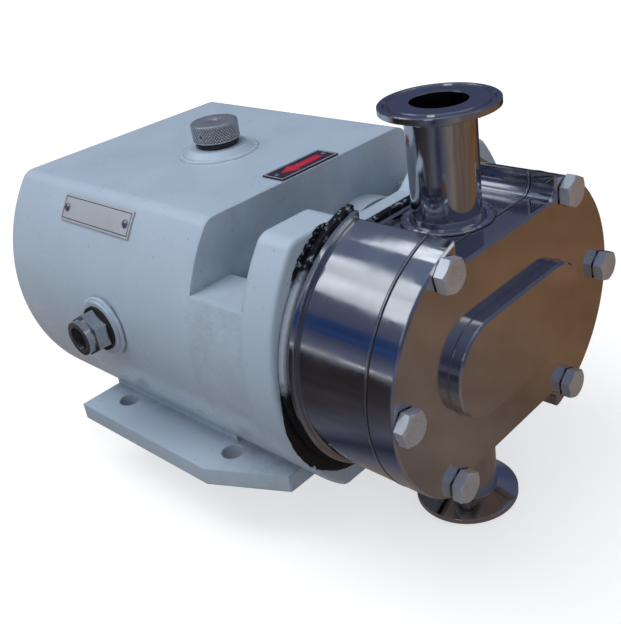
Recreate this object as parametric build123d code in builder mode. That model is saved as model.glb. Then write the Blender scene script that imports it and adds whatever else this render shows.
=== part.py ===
"""Rotary lobe pump with clamp ports above and below the pump head and a foot-mounted gearbox.

X runs to the right as one looks at the front cover, Y runs back from the cover to the gearbox
and Z is up. The origin is the centre of the four foot bolts on the underside of the foot.
"""
import os
from math import acos, cos, hypot, pi, radians, sin, sqrt, tan

from build123d import *

os.makedirs("parts", exist_ok=True)

# ---------------------------------------------------------------- driving dimensions (mm)
# shafts
axis_height = 68.0
shaft_spacing = 52.0

# pump head
port_bore = 24.5
port_passage = 26.5
port_passage_corner = 8.0
port_tube = 30.0
port_face_height = 100.0
port_setback = 31.0
ferrule_diameter = 50.5
ferrule_rim = 2.85
gasket_groove_diameter = 43.5
gasket_groove_width = 3.2
gasket_groove_depth = 1.6
ferrule_taper = 20.0
ferrule_edge = 0.4
port_weld = 3.2
head_arc_x = 21.7
head_arc_radius = 61.4
recess_half_width = 36.5
recess_floor = 49.0
recess_fillet = 6.0
cover_thickness = 12.5
case_depth = 40.5
chamber_depth = 32.0
case_lip_width = 3.5
case_lip_height = 2.0
backing_thickness = 4.0
backing_overhang = 3.1
cover_boss_radius = 22.5
cover_boss_height = 6.0
cover_boss_wall = 5.0
cover_edge = 1.0
nut_pocket_radius = 17.0

# cover seal and dowels
cover_seal_radius = 38.5
cover_seal_width = 3.0
cover_seal_height = 2.8
cover_groove_width = 3.6
dowel_x = 60.0
dowel_z = 34.0
dowel_radius = 3.0
dowel_length = 20.0
dowel_chamfer = 0.6
thread_gap = 0.1

# cover bolts (M10)
bolt_x = 45.3
bolt_z = 49.8
side_bolt_x = 76.3
bolt_diameter = 10.0
bolt_hole = 10.4
bolt_length = 71.0
bolt_head_width = 16.0
bolt_head_height = 6.4
bolt_tip_chamfer = 1.0

# gearbox casting
flange_front_y = -97.0
flange_thickness = 18.0
window_length = 33.0
gearbox_length = 151.0
barrel_radius = 89.5
flat_top = 60.0
top_corner_round = 8.0
barrel_wall = 9.5
front_wall = 16.0
rear_wall = 10.0
window_ledge = 31.0
window_half_width = 60.0
window_depth = 46.0
window_corner = 12.0
trough_top_half = 38.0
trough_floor_half = 22.0
trough_floor = 46.0
trough_round = 7.0
shaft_opening_radius = 25.0
bearing_boss_radius = 35.0
bearing_boss_length = 12.0
casting_edge = 2.0

# foot
foot_half_width = 94.0
foot_thickness = 9.0
foot_back_y = 62.0
foot_chamfer_x = 18.5
foot_chamfer_y = 39.0
foot_bolt_x = 77.0
foot_bolt_y = 42.0
foot_bolt_hole = 11.0
foot_pad_half_width = 70.0
foot_pad_height = 5.5
foot_pad_front_y = -38.0

# rotors
lobes = 3
rotor_end_gap = 0.15
rotor_flank_gap = 0.12
rotor_tip_gap = 0.15
arc_shares = (0.001, 0.04, 0.1, 0.2, 0.3, 0.5, 0.7, 0.8, 0.9, 0.96)
rotor_turn = 60.0
rotor_seat_diameter = 20.0
rotor_key_width = 6.0
rotor_key_height = 6.0
rotor_key_length = 26.0
key_top_gap = 0.3
key_stand_in = 0.5
rotor_nut_radius = 14.0
rotor_nut_length = 13.0
rotor_nut_flats = 24.0
rotor_nut_dome = 4.0
shaft_chamfer = 1.0
thread_diameter = 14.0
thread_length = 9.5

# shaft seals
seal_journal_diameter = 24.0
seal_seat_radius = 19.0
seal_seat_bore = 13.5
seal_seat_shelf = 2.0
seal_spigot_length = 2.8
spigot_gap = 0.2
seal_seat_recess = 1.5
seal_ring_radius = 16.5
seal_ring_bore = 13.0
seal_ring_length = 6.0
seal_bellows_radius = 17.0
seal_bellows_length = 12.0
seal_collar_radius = 18.0
seal_collar_length = 8.0
seal_film = 0.05

# bearings (25 x 47 x 12) and oil seals
bearing_bore = 25.0
bearing_outer = 47.0
bearing_width = 12.0
roller_radius = 2.7
roller_pitch_radius = 18.0
roller_length = 7.6
rollers = 8
cage_inner_radius = 16.6
cage_outer_radius = 19.2
cage_length = 10.0
raceway_gap = 0.05
oil_seal_width = 7.0
oil_seal_gap = 0.05
oil_seal_taper = 1.5
seal_to_bearing = 2.5
front_seal_inset = 0.5
rear_seal_inset = 0.8
journal_lead = 3.0
bearing_shelf = 4.0
circlip_thickness = 1.75
circlip_outer = 49.6
circlip_inner = 43.0
circlip_opening = 12.0

# timing gears
gear_module = 2.0
gear_teeth = 26
gear_width = 18.0
gear_backlash = 0.16
gear_seat_diameter = 28.0
gear_front_y = 44.0
gear_pressure_angle = 20.0
gear_key_width = 8.0
gear_key_height = 7.0
gear_key_length = 16.0
shaft_body_diameter = 30.0
spacer_length = 15.0
lock_nut_length = 7.0
lock_nut_radius = 18.5
lock_nut_slot_width = 5.0
lock_nut_slot_depth = 2.0
thread_stand_out = 2.0

# rear cover
gasket_thickness = 0.8
rear_cover_thickness = 10.0
rear_opening_radius = 34.0
rear_hub_gap = 0.2
rear_hub_lip = 1.5
rear_boss_radius = 29.0
rear_boss_height = 7.0
rear_screw_radius = 42.0
rear_screw_diameter = 6.0
rear_screw_length = 18.0
rear_screw_head_radius = 5.0
rear_screw_head_height = 6.0
rear_screw_socket = 5.0
rear_cover_inset = 8.5
rear_bearing_shelf = 3.5
rear_pocket_wall = 6.0
rear_shaft_gap = 1.5
extension_diameter = 22.0
extension_length = 45.0
extension_seal_outer = 40.0
coupling_key_length = 22.0
coupling_key_width = 6.0
coupling_key_height = 6.0
coupling_key_setback = 3.0
coupling_groove_width = 1.3
coupling_groove_depth = 0.5
coupling_groove_setback = 1.2

# filler cap, sight glass, drain plug, plates
fitting_y = 22.0
filler_boss_radius = 19.0
filler_boss_top_radius = 15.0
filler_boss_height = 3.5
filler_cap_radius = 12.25
filler_cap_height = 9.5
filler_cap_chamfer = 0.6
filler_cap_dimple = 1.5
filler_ring_radius = 11.2
filler_ring_height = 3.0
filler_ring_chamfer = 0.7
filler_stem_radius = 9.0
filler_stem_length = 16.0
filler_stem_gap = 0.05
sight_boss_radius = 14.0
sight_boss_height = 3.0
sight_gasket_radius = 11.5
sight_gasket_thickness = 1.5
sight_hex_width = 19.0
sight_hex_length = 7.0
sight_ring_radius = 8.7
sight_ring_length = 4.0
sight_window_radius = 6.0
sight_stem_radius = 7.5
sight_stem_length = 16.0
sight_hex_turn = 30.0
lens_thickness = 2.0
lens_setback = 1.0
drain_y = 82.0
drain_z = -42.0
drain_boss_height = 5.0
drain_boss_radius = 12.0
drain_washer_radius = 9.5
drain_washer_thickness = 1.2
drain_hex_width = 15.0
drain_hex_length = 7.0
drain_stem_radius = 6.0
drain_stem_length = 16.0
plate_thickness = 0.8
name_plate_length = 56.5
name_plate_front_y = 2.0
name_plate_low = 30.1
name_plate_high = 38.6
arrow_plate_length = 39.0
arrow_plate_width = 14.0
arrow_plate_inset = 1.0
plate_corner = 0.8

# ---------------------------------------------------------------- derived places
drive_x = shaft_spacing / 2
shafts = {"drive": drive_x, "driven": -drive_x}

case_back_y = flange_front_y - backing_thickness
case_front_y = case_back_y - case_depth
cover_front_y = case_front_y - cover_thickness
chamber_back_y = case_front_y + chamber_depth
port_y = cover_front_y + port_setback
spigot_end_y = case_back_y + seal_spigot_length
window_front_y = flange_front_y + flange_thickness
gearbox_front_y = window_front_y + window_length
casting_back_y = gearbox_front_y + gearbox_length
cavity_front_y = gearbox_front_y + front_wall
cavity_back_y = casting_back_y - rear_wall
boss_front_y = gearbox_front_y - bearing_boss_length

top_z = axis_height + flat_top

rotor_pitch_radius = shaft_spacing / 2
rolling_radius = rotor_pitch_radius / (2 * lobes)
rotor_tip_radius = rotor_pitch_radius + 2 * rolling_radius - rotor_flank_gap
chamber_radius = rotor_tip_radius + rotor_tip_gap
rotor_front_y = case_front_y + rotor_end_gap
rotor_back_y = chamber_back_y - rotor_end_gap

seal_seat_front_y = chamber_back_y + seal_seat_shelf
seal_seat_back_y = spigot_end_y - seal_seat_recess
seal_ring_front_y = seal_seat_back_y + seal_film
seal_bellows_front_y = seal_ring_front_y + seal_ring_length
seal_collar_front_y = seal_bellows_front_y + seal_bellows_length
seal_collar_back_y = seal_collar_front_y + seal_collar_length

front_seal_front_y = boss_front_y + front_seal_inset
shelf_radius = bearing_outer / 2 - bearing_shelf
front_seal_back_y = front_seal_front_y + oil_seal_width
front_bearing_front_y = front_seal_back_y + seal_to_bearing
front_bearing_back_y = front_bearing_front_y + bearing_width
bearing_journal_front_y = front_seal_front_y - journal_lead

gear_back_y = gear_front_y + gear_width
rear_bearing_front_y = gear_back_y + spacer_length
rear_bearing_back_y = rear_bearing_front_y + bearing_width
lock_nut_back_y = rear_bearing_back_y + lock_nut_length
rear_cover_front_y = casting_back_y + gasket_thickness
rear_cover_back_y = rear_cover_front_y + rear_cover_thickness
rear_boss_back_y = rear_cover_back_y + rear_boss_height
driven_shaft_end_y = lock_nut_back_y + thread_stand_out
drive_shaft_end_y = rear_boss_back_y + extension_length
rear_seal_back_y = rear_boss_back_y - rear_seal_inset
rear_seal_front_y = rear_seal_back_y - oil_seal_width
rear_pocket_back_y = rear_cover_back_y - rear_pocket_wall
rear_hub_front_y = rear_bearing_front_y - rear_hub_lip
coupling_key_front_y = rear_boss_back_y + coupling_key_setback
coupling_groove_y = coupling_key_front_y + coupling_key_length + coupling_groove_setback

nut_pocket_front_y = cover_front_y - cover_boss_height + cover_boss_wall
dowel_front_y = flange_front_y - backing_thickness / 2 - dowel_length / 2
dowel_back_y = dowel_front_y + dowel_length
rear_screw_front_y = rear_cover_back_y - rear_screw_length
sight_boss_x = -barrel_radius - sight_boss_height
drain_axis_z = axis_height + drain_z
drain_boss_x = sqrt(barrel_radius**2 - drain_z**2) + drain_boss_height

raceway_inner = roller_pitch_radius - roller_radius - raceway_gap
raceway_outer = roller_pitch_radius + roller_radius + raceway_gap

corner_bolts = [(x, z) for x in (-bolt_x, bolt_x) for z in (-bolt_z, bolt_z)]
cover_bolt_places = corner_bolts + [(-side_bolt_x, 0), (side_bolt_x, 0)]
dowel_hole = 2 * dowel_radius + thread_gap
rear_screw_hole = rear_screw_diameter + thread_gap
dowel_places = [(-dowel_x, -dowel_z), (dowel_x, dowel_z)]
rear_screw_places = [
    (side * (drive_x + rear_screw_radius * cos(angle)), level * rear_screw_radius * sin(angle))
    for side in (-1, 1)
    for level in (-1, 1)
    for angle in (radians(45), radians(90))
]


# ---------------------------------------------------------------- planes and shared shapes
def front_plane(y):
    """A plane facing the front at y, with local X along X and local Y up from the shaft axes."""
    return Plane(origin=(0, y, axis_height), x_dir=(1, 0, 0), z_dir=(0, -1, 0))


def shaft_plane(x):
    """A level plane through the shaft at x: local X is the radius and local Y runs back."""
    return Plane(origin=(x, 0, axis_height))


def prism(outline, front_y, back_y, mode=Mode.ADD):
    """Runs an outline drawn on the front plane's axes from front_y back to back_y."""
    with BuildSketch(front_plane(front_y)) as profile:
        add(outline)
    extrude(profile.sketch, amount=back_y - front_y, dir=(0, 1, 0), mode=mode)


def turned(x, points, mode=Mode.ADD):
    """Turns a closed profile of (radius, y) points about the shaft axis at x."""
    with BuildSketch(shaft_plane(x)) as profile:
        with BuildLine():
            Polyline(*points, close=True)
        make_face()
    revolve(profile.sketch, axis=Axis((x, 0, axis_height), (0, 1, 0)), mode=mode)


def ring(x, inner, outer, front_y, back_y, mode=Mode.ADD):
    """A plain ring, or a disc where inner is 0, about the shaft axis at x."""
    turned(x, [(inner, front_y), (outer, front_y), (outer, back_y), (inner, back_y)], mode)


def round_holes(places, diameter, front_y, back_y):
    """Round holes along Y at (x, height from the shaft axes) places."""
    with BuildSketch(front_plane(front_y)) as profile:
        with Locations(*places):
            Circle(diameter / 2)
    extrude(profile.sketch, amount=back_y - front_y, dir=(0, 1, 0), mode=Mode.SUBTRACT)


def side_disc(x, y, z, radius, length, mode=Mode.ADD):
    """A disc or hole along X about (y, z) that starts at x and runs length along X."""
    with BuildSketch(Plane.YZ.offset(x)) as profile:
        with Locations((y, z)):
            Circle(radius)
    extrude(profile.sketch, amount=length, mode=mode)


def feather_key(x, width, bottom, height, front_y, length, mode=Mode.ADD):
    """A round-ended key, or its seat, on top of the shaft at x, bottom above the axis."""
    middle = Plane(origin=(x, front_y + length / 2, axis_height + bottom))
    with BuildSketch(middle) as profile:
        SlotOverall(length, width, rotation=90)
    extrude(profile.sketch, amount=height, mode=mode)


def hub_keyway(x, width, top, front_y, back_y):
    """The straight keyway through a hub on the shaft at x, top above the axis."""
    with BuildSketch(front_plane(front_y)) as profile:
        with Locations((x, 0)):
            Rectangle(width, top, align=(Align.CENTER, Align.MIN))
    extrude(profile.sketch, amount=back_y - front_y, dir=(0, 1, 0), mode=Mode.SUBTRACT)


def obround(radius):
    """An obround about both shaft axes."""
    with BuildSketch() as shape:
        SlotCenterToCenter(shaft_spacing, 2 * radius)
    return shape.sketch


def head_outline(grow=0.0):
    """The pump head's outline: an obround with a flat-bottomed recess under each port."""
    radius = head_arc_radius + grow
    floor = recess_floor + grow
    with BuildSketch() as shape:
        SlotCenterToCenter(2 * head_arc_x, 2 * radius)
        with Locations((0, floor), (0, -radius)):
            Rectangle(
                2 * (recess_half_width - grow),
                radius - floor,
                align=(Align.CENTER, Align.MIN),
                mode=Mode.SUBTRACT,
            )
        floor_corners = shape.vertices().filter_by(lambda v: abs(abs(v.Y) - floor) < 0.01)
        fillet(floor_corners, recess_fillet)
    return shape.sketch


def barrel_outline(inset=0.0):
    """The casting's section: a circle about the middle, cut flat on top and underneath."""
    radius = barrel_radius - inset
    top = flat_top - inset
    bottom = inset - axis_height
    with BuildSketch() as shape:
        Circle(radius)
        with Locations((0, (top + bottom) / 2)):
            Rectangle(2 * radius, top - bottom, mode=Mode.INTERSECT)
        fillet(shape.vertices().group_by(Axis.Y)[-1], top_corner_round)
    return shape.sketch


# ---------------------------------------------------------------- gearbox casting
def window_outline():
    """The seal window: open across the casting above a ledge, with a well between the sides."""
    with BuildSketch() as shape:
        with Locations((0, window_ledge)):
            Rectangle(3 * barrel_radius, 2 * flat_top, align=(Align.CENTER, Align.MIN))
        with Locations((0, -window_depth)):
            RectangleRounded(
                2 * window_half_width,
                window_depth + window_ledge + window_corner,
                window_corner,
                align=(Align.CENTER, Align.MIN),
            )
    return shape.sketch


def flange_outline():
    """The front flange: the barrel's section with a trough in its top behind the upper port."""
    with BuildSketch() as shape:
        add(barrel_outline())
        with BuildLine():
            Polyline(
                (-trough_top_half, flat_top),
                (-trough_floor_half, trough_floor),
                (trough_floor_half, trough_floor),
                (trough_top_half, flat_top),
                close=True,
            )
        make_face(mode=Mode.SUBTRACT)
        trough_corners = shape.vertices().filter_by(
            lambda v: abs(v.X) < trough_top_half + 1 and v.Y > trough_floor - 1
        )
        fillet(trough_corners, trough_round)
    return shape.sketch


with BuildPart() as gearbox_housing:
    # barrel, side walls of the window and front flange
    prism(barrel_outline(), gearbox_front_y, casting_back_y)
    with BuildSketch(front_plane(window_front_y)):
        add(barrel_outline())
        add(window_outline(), mode=Mode.SUBTRACT)
    extrude(amount=window_length, dir=(0, 1, 0))
    prism(flange_outline(), flange_front_y, window_front_y)
    flange_face = gearbox_housing.faces().sort_by(Axis.Y)[0]
    flange_rim = flange_face.outer_wire().edges().filter_by(lambda e: e.center().Z > 1)
    fillet(flange_rim, casting_edge)
    back_rim = gearbox_housing.faces().sort_by(Axis.Y)[-1].outer_wire().edges()
    chamfer(back_rim.filter_by(lambda e: e.center().Z > 1), casting_edge)

    # foot plate with chamfered front corners, and the pad between it and the barrel
    with BuildSketch():
        with BuildLine():
            Polyline(
                (-foot_half_width, foot_back_y),
                (-foot_half_width, window_front_y + foot_chamfer_y),
                (-foot_half_width + foot_chamfer_x, window_front_y),
                (foot_half_width - foot_chamfer_x, window_front_y),
                (foot_half_width, window_front_y + foot_chamfer_y),
                (foot_half_width, foot_back_y),
                close=True,
            )
        make_face()
        with GridLocations(2 * foot_bolt_x, 2 * foot_bolt_y, 2, 2):
            Circle(foot_bolt_hole / 2, mode=Mode.SUBTRACT)
    extrude(amount=foot_thickness)
    pad_length = foot_back_y - foot_pad_front_y
    with BuildSketch(Plane.XY.offset(foot_thickness)):
        with Locations((0, foot_pad_front_y + pad_length / 2)):
            Rectangle(2 * foot_pad_half_width, pad_length)
    extrude(amount=foot_pad_height)

    # bosses for the front bearings, filler, sight glass and drain
    for x in shafts.values():
        ring(x, 0, bearing_boss_radius, boss_front_y, gearbox_front_y)
    with BuildSketch(Plane(origin=(0, fitting_y, top_z))):
        Circle(filler_boss_radius)
    with BuildSketch(Plane(origin=(0, fitting_y, top_z + filler_boss_height))):
        Circle(filler_boss_top_radius)
    loft()
    side_disc(sight_boss_x, fitting_y, axis_height, sight_boss_radius, 2 * sight_boss_height)
    side_disc(drain_boss_x, drain_y, drain_axis_z, drain_boss_radius, -2 * drain_boss_radius)

    # gear space, closed at the back by the rear cover
    prism(barrel_outline(barrel_wall), cavity_front_y, cavity_back_y, Mode.SUBTRACT)
    prism(obround(rear_opening_radius), cavity_back_y, casting_back_y, Mode.SUBTRACT)

    # front bores: oil seal, shelf, bearing and circlip groove
    seat_radius = bearing_outer / 2
    circlip_back_y = front_bearing_back_y + circlip_thickness
    for x in shafts.values():
        ring(x, 0, shelf_radius, front_seal_back_y, front_bearing_front_y, Mode.SUBTRACT)
        ring(x, 0, seat_radius, boss_front_y, front_seal_back_y, Mode.SUBTRACT)
        ring(x, 0, seat_radius, front_bearing_front_y, cavity_front_y, Mode.SUBTRACT)
        ring(x, 0, circlip_outer / 2, front_bearing_back_y, circlip_back_y, Mode.SUBTRACT)
    prism(obround(shaft_opening_radius), flange_front_y, window_front_y, Mode.SUBTRACT)

    # holes for the cover bolts, dowels, rear screws, filler, sight glass and drain
    round_holes(cover_bolt_places, bolt_diameter + thread_gap, flange_front_y, window_front_y)
    round_holes(dowel_places, dowel_hole, flange_front_y, dowel_back_y)
    round_holes(rear_screw_places, rear_screw_hole, rear_screw_front_y, casting_back_y)
    with BuildSketch(Plane(origin=(0, fitting_y, top_z + filler_boss_height))):
        Circle(filler_stem_radius + filler_stem_gap)
    extrude(amount=-(filler_boss_height + 2 * barrel_wall), mode=Mode.SUBTRACT)
    side_disc(
        sight_boss_x, fitting_y, axis_height, sight_stem_radius, 3 * barrel_wall, Mode.SUBTRACT
    )
    side_disc(
        drain_boss_x, drain_y, drain_axis_z, drain_stem_radius, -2 * drain_boss_radius, Mode.SUBTRACT
    )
gearbox_housing.part.label = "gearbox_housing"
export_step(gearbox_housing.part, "parts/gearbox_housing.step")

# ---------------------------------------------------------------- pump head
with BuildPart() as rotor_case:
    prism(head_outline(), case_front_y, case_back_y)
    prism(head_outline(case_lip_height), case_back_y - case_lip_width, case_back_y)
    prism(obround(shaft_opening_radius - spigot_gap), case_back_y, spigot_end_y)
    for x in shafts.values():
        ring(x, 0, chamber_radius, case_front_y, chamber_back_y, Mode.SUBTRACT)
        ring(x, 0, seal_seat_bore, chamber_back_y, seal_seat_front_y, Mode.SUBTRACT)
        ring(x, 0, seal_seat_radius, seal_seat_front_y, spigot_end_y, Mode.SUBTRACT)
    with BuildSketch(front_plane(case_front_y)):
        add(obround(cover_seal_radius + cover_groove_width / 2))
        add(obround(cover_seal_radius - cover_groove_width / 2), mode=Mode.SUBTRACT)
    extrude(amount=cover_seal_height, dir=(0, 1, 0), mode=Mode.SUBTRACT)
    with BuildSketch(Plane(origin=(0, port_y, axis_height - recess_floor))):
        RectangleRounded(port_passage, port_passage, port_passage_corner)
    extrude(amount=2 * recess_floor, mode=Mode.SUBTRACT)
    round_holes(cover_bolt_places, bolt_hole, case_front_y, case_back_y)
    round_holes(dowel_places, dowel_hole, dowel_front_y, case_back_y)
rotor_case.part.label = "rotor_case"
export_step(rotor_case.part, "parts/rotor_case.step")

with BuildPart() as front_cover:
    prism(head_outline(), cover_front_y, case_front_y)
    cover_face = front_cover.faces().sort_by(Axis.Y)[0]
    chamfer(cover_face.edges(), cover_edge)
    prism(obround(cover_boss_radius), cover_front_y - cover_boss_height, cover_front_y)
    boss_face = front_cover.faces().sort_by(Axis.Y)[0]
    chamfer(boss_face.edges(), cover_edge)
    for x in shafts.values():
        ring(x, 0, nut_pocket_radius, nut_pocket_front_y, case_front_y, Mode.SUBTRACT)
    round_holes(cover_bolt_places, bolt_hole, cover_front_y, case_front_y)
front_cover.part.label = "front_cover"
export_step(front_cover.part, "parts/front_cover.step")

with BuildPart() as cover_seal:
    with BuildSketch(front_plane(case_front_y)):
        add(obround(cover_seal_radius + cover_seal_width / 2))
        add(obround(cover_seal_radius - cover_seal_width / 2), mode=Mode.SUBTRACT)
    extrude(amount=cover_seal_height, dir=(0, 1, 0))
cover_seal.part.label = "cover_seal"
export_step(cover_seal.part, "parts/cover_seal.step")

with BuildPart() as backing_plate:
    prism(head_outline(backing_overhang), case_back_y, flange_front_y)
    prism(obround(shaft_opening_radius), case_back_y, flange_front_y, Mode.SUBTRACT)
    round_holes(cover_bolt_places, bolt_hole, case_back_y, flange_front_y)
    round_holes(dowel_places, dowel_hole, case_back_y, flange_front_y)
backing_plate.part.label = "backing_plate"
export_step(backing_plate.part, "parts/backing_plate.step")

with BuildPart() as case_dowels:
    with BuildSketch(front_plane(dowel_front_y)):
        with Locations(*dowel_places):
            Circle(dowel_radius)
    extrude(amount=dowel_length, dir=(0, 1, 0))
    chamfer(case_dowels.edges().filter_by(GeomType.CIRCLE), dowel_chamfer)
case_dowels.part.label = "case_dowels"
export_step(case_dowels.part, "parts/case_dowels.step")

# one hexagon bolt along Z, its head standing on the XY plane, chamfered round the corners
with BuildPart() as cover_bolt:
    with BuildSketch():
        RegularPolygon(bolt_head_width / 2, 6, major_radius=False)
    extrude(amount=bolt_head_height)
    corner_radius = bolt_head_width / 2 / cos(radians(30))
    corner_drop = (corner_radius - bolt_head_width / 2) * tan(radians(30))
    with BuildSketch(Plane.XZ):
        with BuildLine():
            Polyline(
                (0, 0),
                (corner_radius, 0),
                (corner_radius, bolt_head_height - corner_drop),
                (bolt_head_width / 2, bolt_head_height),
                (0, bolt_head_height),
                close=True,
            )
        make_face()
    revolve(axis=Axis.Z, mode=Mode.INTERSECT)
    with BuildSketch():
        Circle(bolt_diameter / 2)
    extrude(amount=-bolt_length)
    bolt_tip = cover_bolt.faces().sort_by(Axis.Z)[0]
    chamfer(bolt_tip.edges(), bolt_tip_chamfer)

cover_plane = front_plane(cover_front_y)
with BuildPart() as cover_bolts:
    with Locations(*[cover_plane * Location((x, z, 0)) for x, z in cover_bolt_places]):
        add(cover_bolt.part)
cover_bolts.part.label = "cover_bolts"
export_step(cover_bolts.part, "parts/cover_bolts.step")


def draw_port(side):
    """One clamp port as a turned profile of (radius, height): side is 1 above and -1 below."""
    tube_radius = port_tube / 2
    rim_radius = ferrule_diameter / 2
    rim_height = port_face_height - ferrule_rim
    taper_height = rim_height - (rim_radius - tube_radius) * tan(radians(ferrule_taper))
    weld_middle = port_weld * (1 - sin(radians(45)))
    groove_radius = gasket_groove_diameter / 2
    outline = [
        (port_bore / 2, recess_floor),
        (tube_radius + port_weld, recess_floor),
        (tube_radius + weld_middle, recess_floor + weld_middle),
        (tube_radius, recess_floor + port_weld),
        (tube_radius, taper_height),
        (rim_radius, rim_height),
        (rim_radius, port_face_height - ferrule_edge),
        (rim_radius - ferrule_edge, port_face_height),
        (groove_radius + gasket_groove_width / 2, port_face_height),
        (groove_radius + gasket_groove_width / 4, port_face_height - gasket_groove_depth),
        (groove_radius - gasket_groove_width / 4, port_face_height - gasket_groove_depth),
        (groove_radius - gasket_groove_width / 2, port_face_height),
        (port_bore / 2, port_face_height),
    ]
    with BuildSketch(front_plane(port_y)) as profile:
        with BuildLine():
            Polyline(*[(radius, side * height) for radius, height in outline], close=True)
        make_face()
    revolve(profile.sketch, axis=Axis((0, port_y, 0), (0, 0, 1)))


with BuildPart() as top_port:
    draw_port(1)
top_port.part.label = "top_port"
export_step(top_port.part, "parts/top_port.step")

with BuildPart() as bottom_port:
    draw_port(-1)
bottom_port.part.label = "bottom_port"
export_step(bottom_port.part, "parts/bottom_port.step")


# ---------------------------------------------------------------- rotors and timing gears
def cycloid_point(angle, side):
    """A point of the rotor's flank, which a circle rolling on the pitch circle draws.

    It rolls outside the pitch circle for a lobe (side 1) and inside it for a valley
    (side -1); the point is moved in by the flank gap along the contact's normal.
    """
    centre = rotor_pitch_radius + side * rolling_radius
    spin = angle * centre / rolling_radius
    x = centre * cos(angle) - side * rolling_radius * cos(spin)
    y = centre * sin(angle) - rolling_radius * sin(spin)
    normal_x = x - rotor_pitch_radius * cos(angle)
    normal_y = y - rotor_pitch_radius * sin(angle)
    shift = side * rotor_flank_gap / hypot(normal_x, normal_y)
    return x - normal_x * shift, y - normal_y * shift


def rotor_outline():
    """The rotor's section about its own axis: three lobes and three valleys, a lobe on local +X.

    Arcs through points at set shares of each rolled arch stand for the curve.
    """
    arch = pi / lobes
    points = []
    for index in range(2 * lobes):
        side = 1 if index % 2 == 0 else -1
        for share in arc_shares:
            x, y = cycloid_point(share * arch, side)
            turn = index * arch - arch / 2
            points.append((x * cos(turn) - y * sin(turn), x * sin(turn) + y * cos(turn)))
    points.append(points[0])
    with BuildSketch() as shape:
        with BuildLine():
            for first in range(0, len(points) - 1, 2):
                ThreePointArc(*points[first : first + 3])
        make_face()
    return shape.sketch


def involute(angle):
    return tan(angle) - angle


def gear_outline():
    """The timing gear's section: involute flanks drawn as arcs through three points of the curve."""
    pitch_radius = gear_module * gear_teeth / 2
    base_radius = pitch_radius * cos(radians(gear_pressure_angle))
    tip_radius = pitch_radius + gear_module
    root_radius = pitch_radius - 1.25 * gear_module
    half_tooth = (pi * gear_module - gear_backlash) / (4 * pitch_radius)
    start = half_tooth + involute(radians(gear_pressure_angle))
    flank = []
    for radius in (base_radius, (base_radius + tip_radius) / 2, tip_radius):
        turn = start - involute(acos(base_radius / radius))
        flank.append((radius * cos(turn), radius * sin(turn)))
    foot = (0.97 * root_radius * cos(start), 0.97 * root_radius * sin(start))
    with BuildSketch() as shape:
        Circle(root_radius)
        with BuildSketch(mode=Mode.PRIVATE) as tooth:
            with BuildLine():
                Line(foot, flank[0])
                ThreePointArc(*flank)
                ThreePointArc(flank[2], (tip_radius, 0), (flank[2][0], -flank[2][1]))
                ThreePointArc(*[(x, -y) for x, y in reversed(flank)])
                Line((flank[0][0], -flank[0][1]), (foot[0], -foot[1]))
                Line((foot[0], -foot[1]), foot)
            make_face()
        with PolarLocations(0, gear_teeth):
            add(tooth.sketch)
    return shape.sketch


def turn_outline(outline, x, turn):
    """Sets an outline on the shaft at x, turned by an angle in degrees."""
    with BuildSketch() as shape:
        with Locations(Location((x, 0, 0), (0, 0, turn))):
            add(outline)
    return shape.sketch


rotor_section = rotor_outline()
gear_section = gear_outline()
rotor_seat = rotor_seat_diameter / 2
gear_seat = gear_seat_diameter / 2
journal = bearing_bore / 2
rotor_key_bottom = rotor_seat - rotor_key_height / 2 - key_stand_in
gear_key_bottom = gear_seat - gear_key_height / 2 - key_stand_in
coupling_key_bottom = extension_diameter / 2 - coupling_key_height / 2 - key_stand_in
rotor_key_front_y = rotor_front_y + (rotor_back_y - rotor_front_y - rotor_key_length) / 2
gear_key_front_y = gear_front_y + (gear_width - gear_key_length) / 2
gear_turns = {"drive": 0.0, "driven": 180.0 / gear_teeth}

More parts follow.
